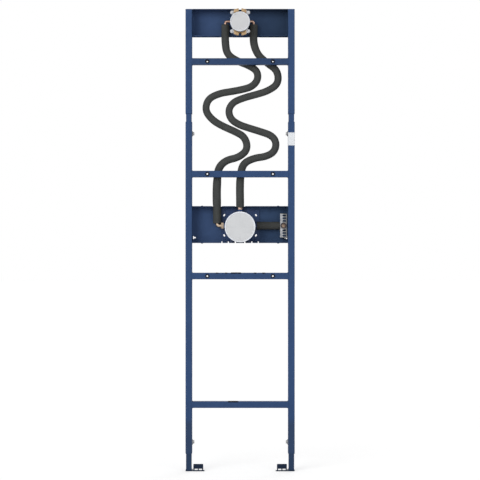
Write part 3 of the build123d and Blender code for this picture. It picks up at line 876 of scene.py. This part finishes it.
fitting_brass = brass("fitting_brass", (0.37, 0.27, 0.215, 1), (0.20, 0.130, 0.095, 1), 0.6, 0.32)
elbow_brass = brass("elbow_brass", (0.50, 0.395, 0.29, 1), (0.27, 0.19, 0.13, 1), 0.5, 0.32)
dress(elbow_brass, "left_mixer_elbow")
dress(fitting_brass, "top_mixer_nipple", "right_mixer_nipple")
# Dark blue on the inlets and their threads: painted shade.
inlet_shade_blue = plastic("inlet_shade_blue", (0.006, 0.018, 0.060, 1), (0.010, 0.024, 0.072, 1), 0.8, 0.5)
dress(inlet_shade_blue, "hot_inlet", "cold_inlet")

bore_radius, bore_bite = 0.0093, 0.0001
thread_start, thread_length = 0.0014, 0.0125
thread_pitch, thread_height, thread_foot = 0.0018, 0.0005, 0.4
thread_steps, crest_least = 36, 0.05


def thread_ridge(work, mouth, axis):
    """Thread inside a bore; mouth is the middle of its open end and axis points into it."""
    place = set_at(mouth, axis)
    count = int(thread_steps * thread_length / thread_pitch)
    root = bore_radius + bore_bite
    rings = []
    for i in range(count + 1):
        turn = 2 * pi * i / thread_steps
        level = thread_start + thread_pitch * i / thread_steps
        crest = thread_height * min(1.0, crest_least + min(i, count - i) / (thread_steps / 2))
        ring = []
        for radius, shift in ((root, -thread_foot), (bore_radius - crest, 0.0), (root, thread_foot)):
            ring.append(on_circle(place, radius, turn, level + shift * thread_pitch))
        rings.append(ring)
    skin_rings(work, rings)


hose_depth = 0.024
inlet_threads = bmesh.new()
for x in (0.197, 0.273):
    thread_ridge(inlet_threads, (x, hose_depth, tray_low), (0, 0, 1))
settle(inlet_threads, "inlet_threads", inlet_shade_blue, "frame")


# Hand shower outlet: a short insulated pipe from the mixer to a brass wall elbow.
# The elbow sits in a galvanised strap with slots, which is screwed to the tray.

def foam_group():
    """Closed-cell foam sleeve: tiny cells in the skin, soft patches of tone, and a matt surface."""
    tree, given, result = new_skin(
        "foam_skin",
        ("Colour", COLOUR, (0.055, 0.058, 0.057, 1)), ("Patch Colour", COLOUR, (0.045, 0.047, 0.046, 1)),
        ("Cell Scale", FLOAT, 420.0),
    )
    cells = cell_pattern(tree, given["Cell Scale"])["Distance"]
    patches = cloud(tree, scale=28.0, detail=4.0)
    amount = reckon(tree, "ADD", remap(tree, patches, (0.35, 0.65), (0.0, 0.7)),
                    remap(tree, cells, (0.0, 0.5), (0.3, 0.0)))
    feed(tree, mix_colours(tree, amount, given["Colour"], given["Patch Colour"]), result["Colour"])
    feed(tree, remap(tree, patches, (0.3, 0.7), (0.82, 0.95)), result["Roughness"])
    feed(tree, bump(tree, cells, strength=0.35, depth=0.0005), result["Normal"])
    return tree


foam_skin = foam_group()


def foam(name, colour, patch):
    material, tree, shader = new_material(name)
    shader.inputs["Specular IOR Level"].default_value = 0.15
    wear_skin(tree, shader, foam_skin, Colour=colour, Patch_Colour=patch)
    return material


# The outlet sleeve's foam is darker than the hoses' foam, as painted shade.
shaded_outlet_foam = foam("shaded_outlet_foam", (0.053, 0.055, 0.053, 1), (0.043, 0.045, 0.044, 1))
outlet_z = 1.124
pipe_low, pipe_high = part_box("outlet_hose")
sleeve_length = pipe_high[0] - pipe_low[0]
sleeve_radius, sleeve_round = 0.018, 0.0015
sleeve_swell, sleeve_waves = 0.0002, 25
left_bore, right_bore = 0.0138, 0.0114
bore_edge, bore_depth = 0.0004, 0.004
sleeve_side = []
for share in (0.15, 0.3, 0.45, 0.6, 0.75, 0.9):
    sleeve_side.append((sleeve_radius + sleeve_swell * sin(sleeve_waves * share), sleeve_length * share))
sleeve_profile = (
    [(left_bore, bore_depth), (left_bore, bore_edge), (left_bore + bore_edge, 0.0)]
    + arc_points((sleeve_radius - sleeve_round, sleeve_round), sleeve_round, -90, 0, 4)
    + sleeve_side
    + arc_points((sleeve_radius - sleeve_round, sleeve_length - sleeve_round), sleeve_round, 0, 90, 4)
    + [(right_bore + bore_edge, sleeve_length), (right_bore, sleeve_length - bore_edge)]
    + [(right_bore, sleeve_length - bore_depth)]
)
sleeve = bmesh.new()
turn_profile(sleeve, sleeve_profile, (pipe_low[0], hose_depth, outlet_z), (1, 0, 0), 48)
settle(sleeve, "outlet_sleeve", shaded_outlet_foam, "frame", ("outlet_hose",))

outlet_centre = Vector((0.4345, -0.008, outlet_z))
# The strap's right half turns darker than its left: painted shade.
strap_painted_shade = (outlet_centre.x - 0.004, outlet_centre.x + 0.002, (0.19, 0.19, 0.185, 1))
strap_zinc = zinc("bracket_zinc", (0.39, 0.40, 0.42, 1), (0.12, 0.125, 0.13, 1), 190.0, 0.34,
                  painted_shade_span=strap_painted_shade)
dress(strap_zinc, "outlet_bracket")
outlet_brass = brass("outlet_brass", (0.29, 0.215, 0.165, 1), (0.14, 0.10, 0.08, 1), 0.6, 0.36,
                     rim=(outlet_centre, 0.0088, (0.045, 0.037, 0.042, 1)))
dress(outlet_brass, "outlet_elbow")
outlet_thread = bmesh.new()
thread_ridge(outlet_thread, outlet_centre, (0, 1, 0))
settle(outlet_thread, "outlet_thread", outlet_brass, "frame")


# Head section: two shorter posts on coupling tubes that slide in the lower posts.
# A crossbar joins them, welded as the others are, and plastic plugs close their upper ends.

dress(coat("head_post_coat", coat_blue, coat_edge), "left_head_post", "right_head_post")
dress(coat("coupling_coat", coat_blue, coat_edge), "left_coupling", "right_coupling")
dress(coat("head_bar_coat", (0.026, 0.055, 0.130, 1), coat_edge), "head_bar")

head_bar_z = 1.8752
head_welds = bmesh.new()
bar_welds(head_welds, head_bar_z)
settle(head_welds, "head_bar_welds", coat("head_weld_coat", coat_blue, coat_edge),
       "head_section")

head_bushes = bmesh.new()
bush_pair(head_bushes, head_bar_z)
settle(head_bushes, "head_rubber_bushes", rubber, "head_section", ("head_bar_bushes",))

plug_plastic = plastic("plug_plastic", (0.010, 0.011, 0.013, 1), (0.016, 0.017, 0.019, 1), 0.7, 0.5)
plug_top, plug_foot = 2.1140, -0.014
plug_half_width, plug_half_depth = 0.013, 0.023
plug_corner, corner_least, corner_steps = 0.0022, 0.0008, 6


def plug_outline(inset):
    """Rectangle with rounded corners, drawn in from the walls of the post by an inset."""
    corner = max(plug_corner - inset / 2, corner_least)
    half_x, half_y = plug_half_width - inset - corner, plug_half_depth - inset - corner
    outline = []
    for quarter, (sx, sy) in enumerate(((1, 1), (-1, 1), (-1, -1), (1, -1))):
        for k in range(corner_steps + 1):
            turn = pi / 2 * (quarter + k / corner_steps)
            outline.append((sx * half_x + corner * cos(turn), sy * half_y + corner * sin(turn)))
    return outline


plug_steps = (
    (0.0012, plug_foot), (0.0003, plug_foot + 0.001), (0.0003, -0.0008), (0.0006, -0.0002),
    (0.0012, 0.0), (0.0040, 0.0), (0.0046, -0.0008), (0.0046, -0.0020),
)
plugs = bmesh.new()
for axis_x in (left_axis, right_axis):
    rings = []
    for inset, level in plug_steps:
        rings.append([(axis_x + a, b, plug_top + level) for a, b in plug_outline(inset)])
    skin_rings(plugs, rings)
settle(plugs, "post_plugs", plug_plastic, "head_section")


# Head tray: a folded pan like the mixer's, between the upper posts, with notches for the hoses below.
# It carries the overhead shower socket and is tacked to the posts in the same way.

# The head tray's coat turns darker towards the right post than the mixer tray's does, as painted shade.
dress(painted_light_pan_coat("head_tray_coat", (0.031, 0.053, 0.098, 1)), "head_tray")
head_tray_low, head_tray_high = 1.994, 2.1175
head_tacks = bmesh.new()
tray_tacks(head_tacks, head_tray_low, head_tray_high)
settle(head_tacks, "head_tray_tacks", tack_coat, "head_section")


# Overhead shower socket: a brass casting on the tray with a trimmed round flange and a port nut each side.
# White plugs keep its four screw holes clean, a white cap covers the middle, and copper elbows lead to it.

ear_span, ear_depth = (0.026, 0.031), (-0.030, -0.040)


def socket_metal():
    """Brass casting whose four screw ears are plated grey."""
    material, tree, shader = new_material("socket_metal")
    shader.inputs["Metallic"].default_value = 1.0
    off_centre = reckon(tree, "ABSOLUTE", reckon(tree, "SUBTRACT", place_along(tree, 0), frame_centre))
    plated = reckon(tree, "MULTIPLY", remap(tree, off_centre, ear_span, (0.0, 1.0)),
                    remap(tree, place_along(tree, 1), ear_depth, (0.0, 1.0)))
    bright = mix_colours(tree, plated, (0.37, 0.26, 0.145, 1), (0.38, 0.39, 0.40, 1))
    tarnish = mix_colours(tree, plated, (0.16, 0.09, 0.045, 1), (0.20, 0.20, 0.21, 1))
    wear_skin(tree, shader, brass_skin, Bright=bright, Tarnish=tarnish, Tarnish_Amount=0.75, Dullness=0.34)
    return material


dress(socket_metal(), "head_socket")

socket_centre = Vector((frame_centre, -0.050, 2.0525))
plug_white = plastic("plug_white", (0.58, 0.58, 0.60, 1), (0.48, 0.48, 0.50, 1), 0.6, 0.5)
stopper_radius, stopper_side, stopper_crown = 0.0055, 0.0018, 0.0022
stopper_ease, stopper_sides, stopper_circle = 0.98, 28, 0.0565
stopper_profile = [(0.0, 0.0), (stopper_radius, 0.0), (stopper_radius, stopper_side)]
for angle in (15, 35, 55, 75):
    stopper_profile.append((stopper_radius * stopper_ease * cos(radians(angle)),
                            stopper_side + stopper_crown * sin(radians(angle))))
stopper_profile.append((0.0, stopper_side + stopper_crown))
stoppers = bmesh.new()
for angle in (49, 131, 229, 311):
    spot = socket_centre + stopper_circle * Vector((cos(radians(angle)), 0, sin(radians(angle))))
    turn_profile(stoppers, stopper_profile, spot, (0, -1, 0), stopper_sides)
settle(stoppers, "socket_plugs", plug_white, "head_section", ("head_screw_caps",))

# The cap's raised rim gets a painted highlight.
head_white = plastic("head_white", (0.60, 0.605, 0.615, 1), (0.53, 0.535, 0.545, 1), 0.6, 0.5,
                     rim=(socket_centre, 0.040, (0.72, 0.75, 0.80, 1)))
head_cap_radius, head_cap_depth = 0.045, 0.016
head_cap = bmesh.new()
turn_profile(head_cap, cap_profile(head_cap_radius, head_cap_depth), socket_centre, (0, -1, 0), 96)
settle(head_cap, "head_cap", head_white, "head_section", ("head_cover",))

pipe_copper = brass("pipe_copper", (0.46, 0.31, 0.245, 1), (0.24, 0.135, 0.10, 1), 0.5, 0.34)
dress(pipe_copper, "left_head_elbow", "right_head_elbow")


# Hoses: flexible pipes in foam sleeves that wind from the mixer up to the overhead shower socket.
# The spare length in their bends lets the head section slide, and each sleeve has a glued slit behind.
# Routes are in millimetres across from the frame's centre and up from the floor.

hose_foam = foam("hose_foam", (0.062, 0.065, 0.063, 1), (0.051, 0.054, 0.052, 1))
left_route = [
    (-105, 1134.5), (-105, 1164.5), (-107, 1221), (-108, 1277), (-106, 1329), (-101, 1390), (-65, 1426),
    (-7, 1438), (36, 1475), (23, 1533), (-28, 1560), (-77, 1581), (-125, 1608), (-162, 1654), (-148, 1709),
    (-94, 1734), (-41, 1742), (8, 1751), (55, 1764), (83, 1797), (79, 1838), (38, 1864), (-10, 1881),
    (-60, 1912), (-69, 1968), (-68, 2022), (-68, 2050),
]
right_route = [
    (0, 1207.5), (0, 1237.5), (-1, 1296), (1, 1352), (13, 1411), (66, 1436), (118, 1442), (158, 1464),
    (168, 1505), (148, 1539), (93, 1558), (40, 1574), (-5, 1589), (-43, 1614), (-55, 1656), (-33, 1693),
    (19, 1714), (72, 1728), (127, 1744), (177, 1778), (173, 1839), (125, 1873), (81, 1911), (61, 1964),
    (63, 2022), (63, 2050),
]


def route_line(name, route):
    """Points read from the smooth spline that has the route as its control points."""
    curve = bpy.data.curves.new(name + "_line", "CURVE")
    curve.dimensions = "3D"
    curve.resolution_u = 12
    spline = curve.splines.new("NURBS")
    spline.points.add(len(route) - 1)
    for point, (x, z) in zip(spline.points, route):
        point.co = (frame_centre + x / 1000, hose_depth, z / 1000, 1)
    spline.order_u = 3
    spline.use_endpoint_u = True
    line = bpy.data.objects.new(name + "_line", curve)
    bpy.context.scene.collection.objects.link(line)
    bpy.context.view_layer.update()
    sampled = bpy.data.meshes.new_from_object(line)
    points = [vertex.co.copy() for vertex in sampled.vertices]
    bpy.data.objects.remove(line)
    bpy.data.curves.remove(curve)
    bpy.data.meshes.remove(sampled)
    return points


def swell_at(swells, z):
    """Share of the plain radius at a height, between the heights that are given."""
    for (low, first), (high, second) in zip(swells, swells[1:]):
        if z <= high:
            share = min(1.0, max(0.0, (z - low) / (high - low)))
            return first + (second - first) * share * share * (3 - 2 * share)
    return swells[-1][1]


sleeve_end = ((0.30, 0.006), (0.56, 0.006), (0.56, 0.0003), (0.60, 0.0), (0.90, 0.0), (0.97, 0.0005))


def end_rings(point, ahead, ring):
    """Cut end of a sleeve: the hole that the pipe comes out of and a slightly rounded rim."""
    found = []
    for share, back in sleeve_end:
        found.append([point + (corner - point) * share + ahead * back for corner in ring])
    return found


hose_radius, hose_sides = 0.01725, 48
crease_depth, crease_pitch, crease_gain = 0.00035, 0.011, 1.2
curl_reach, end_round = 6, 0.0018
slit_depth, slit_side = 0.0009, hose_sides // 4 + 5


def foam_hose(name, route, swells, node):
    """Sleeve along a route, with swells, creases inside its bends and a slit behind."""
    points = route_line(name, route)
    depth = Vector((0, 1, 0))
    last = len(points) - 1
    heads = []
    for i in range(last + 1):
        heads.append((points[min(i + 1, last)] - points[max(i - 1, 0)]).normalized())
    run = 0.0
    rings = []
    for i, (point, ahead) in enumerate(zip(points, heads)):
        run += (point - points[i - 1]).length if i else 0.0
        side = ahead.cross(depth).normalized()
        curl = heads[max(i - curl_reach, 0)].cross(heads[min(i + curl_reach, last)]).dot(depth)
        base = hose_radius * swell_at(swells, point.z)
        crease = crease_depth * min(1.0, abs(curl) * crease_gain) * sin(2 * pi * run / crease_pitch)
        ring = []
        for k in range(hose_sides):
            turn = 2 * pi * k / hose_sides
            inside = max(0.0, cos(turn) * (1 if curl < 0 else -1))
            radius = base + crease * inside ** 2 - (slit_depth if k == slit_side else 0.0)
            ring.append(point + side * radius * cos(turn) + depth * radius * sin(turn))
        rings.append(ring)
    low_end = end_rings(points[0], heads[0], rings[0])
    high_end = end_rings(points[-1], -heads[-1], rings[-1])
    rings[0] = [corner + heads[0] * end_round for corner in rings[0]]
    rings[-1] = [corner - heads[-1] * end_round for corner in rings[-1]]
    work = bmesh.new()
    skin_rings(work, low_end + rings + high_end[::-1])
    piece = settle(work, name, hose_foam, None, (node,), smooth=60.0)
    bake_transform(piece)


left_swells = [
    (1.134, 1.11), (1.200, 1.11), (1.210, 1.08), (1.216, 1.08), (1.230, 1.13), (1.32, 1.12), (1.342, 1.06),
    (1.378, 1.05), (1.45, 0.98), (1.60, 0.98), (1.68, 0.95), (1.85, 0.97), (1.90, 0.99), (1.97, 1.03),
    (2.05, 1.03),
]
right_swells = [
    (1.207, 1.07), (1.32, 1.07), (1.342, 1.05), (1.378, 1.04), (1.45, 0.97), (1.60, 0.97), (1.68, 0.94),
    (1.85, 0.98), (1.90, 0.99), (1.97, 1.04), (2.05, 1.04),
]
foam_hose("left_foam_hose", left_route, left_swells, "left_hose")
foam_hose("right_foam_hose", right_route, right_swells, "right_hose")


# Studio: a pale floor that takes the shadow, white all round, and soft lamps in front and behind.
# The camera stands level in front of the frame, at half its height.

scene = bpy.context.scene
scene.view_settings.view_transform = "Standard"


def camera_share(tree):
    """1 for what the camera sees straight, in a mirror or through glass, and 0 for plain light."""
    path = add_node(tree, "ShaderNodeLightPath")
    share = reckon(tree, "MAXIMUM", path.outputs["Is Camera Ray"], path.outputs["Is Glossy Ray"])
    return reckon(tree, "MAXIMUM", share, path.outputs["Is Transmission Ray"])


floor_half, floor_drop, floor_glow = 30.0, 0.0005, 0.50
floor_mesh = bpy.data.meshes.new("studio_floor")
floor_corners = [(a * floor_half, b * floor_half, 0) for a, b in ((-1, -1), (1, -1), (1, 1), (-1, 1))]
floor_mesh.from_pydata(floor_corners, [], [(0, 1, 2, 3)])
floor = bpy.data.objects.new("studio_floor", floor_mesh)
scene.collection.objects.link(floor)
floor.location.z = -floor_drop
floor_paint, tree, shader = new_material("floor_paint")
shader.inputs["Base Color"].default_value = (0.80, 0.80, 0.80, 1)
shader.inputs["Roughness"].default_value = 0.9
shader.inputs["Specular IOR Level"].default_value = 0.0
shader.inputs["Emission Color"].default_value = (1, 1, 1, 1)
feed(tree, reckon(tree, "MULTIPLY", camera_share(tree), floor_glow), shader.inputs["Emission Strength"])
floor_mesh.materials.append(floor_paint)

room_light, room_white = 0.40, 1.0
world = bpy.data.worlds.new("white_room")
scene.world = world
world.use_nodes = True
tree = world.node_tree
room = tree.nodes["Background"]
room.inputs["Color"].default_value = (1, 1, 1, 1)
feed(tree, remap(tree, camera_share(tree), (0.0, 1.0), (room_light, room_white)), room.inputs["Strength"])

lamp_spread, lamp_distance = 40, 5.0


def soft_lamp(name, turn, height, strength):
    """Far soft lamp; turn is its angle to the right of the camera and height its angle above the floor."""
    data = bpy.data.lights.new(name, "SUN")
    data.angle = radians(lamp_spread)
    data.energy = strength
    lamp = bpy.data.objects.new(name, data)
    turn, height = radians(turn), radians(height)
    towards = Vector((sin(turn) * cos(height), -cos(turn) * cos(height), sin(height)))
    lamp.rotation_euler = towards.to_track_quat("Z", "Y").to_euler()
    lamp.location = lamp_distance * towards
    scene.collection.objects.link(lamp)


soft_lamp("left_lamp", turn=-35, height=13, strength=1.72)
soft_lamp("right_lamp", turn=30, height=12, strength=0.55)
soft_lamp("back_lamp", turn=160, height=35, strength=0.5)

camera_data = bpy.data.cameras.new("camera")
camera_data.sensor_width = 36.0
camera_data.lens = 106.56
camera_data.clip_end = 200.0
camera = bpy.data.objects.new("camera", camera_data)
camera.location = (0.23454, -6.525, 1.058)
camera.rotation_euler = (radians(90), 0, 0)
scene.collection.objects.link(camera)
scene.camera = camera
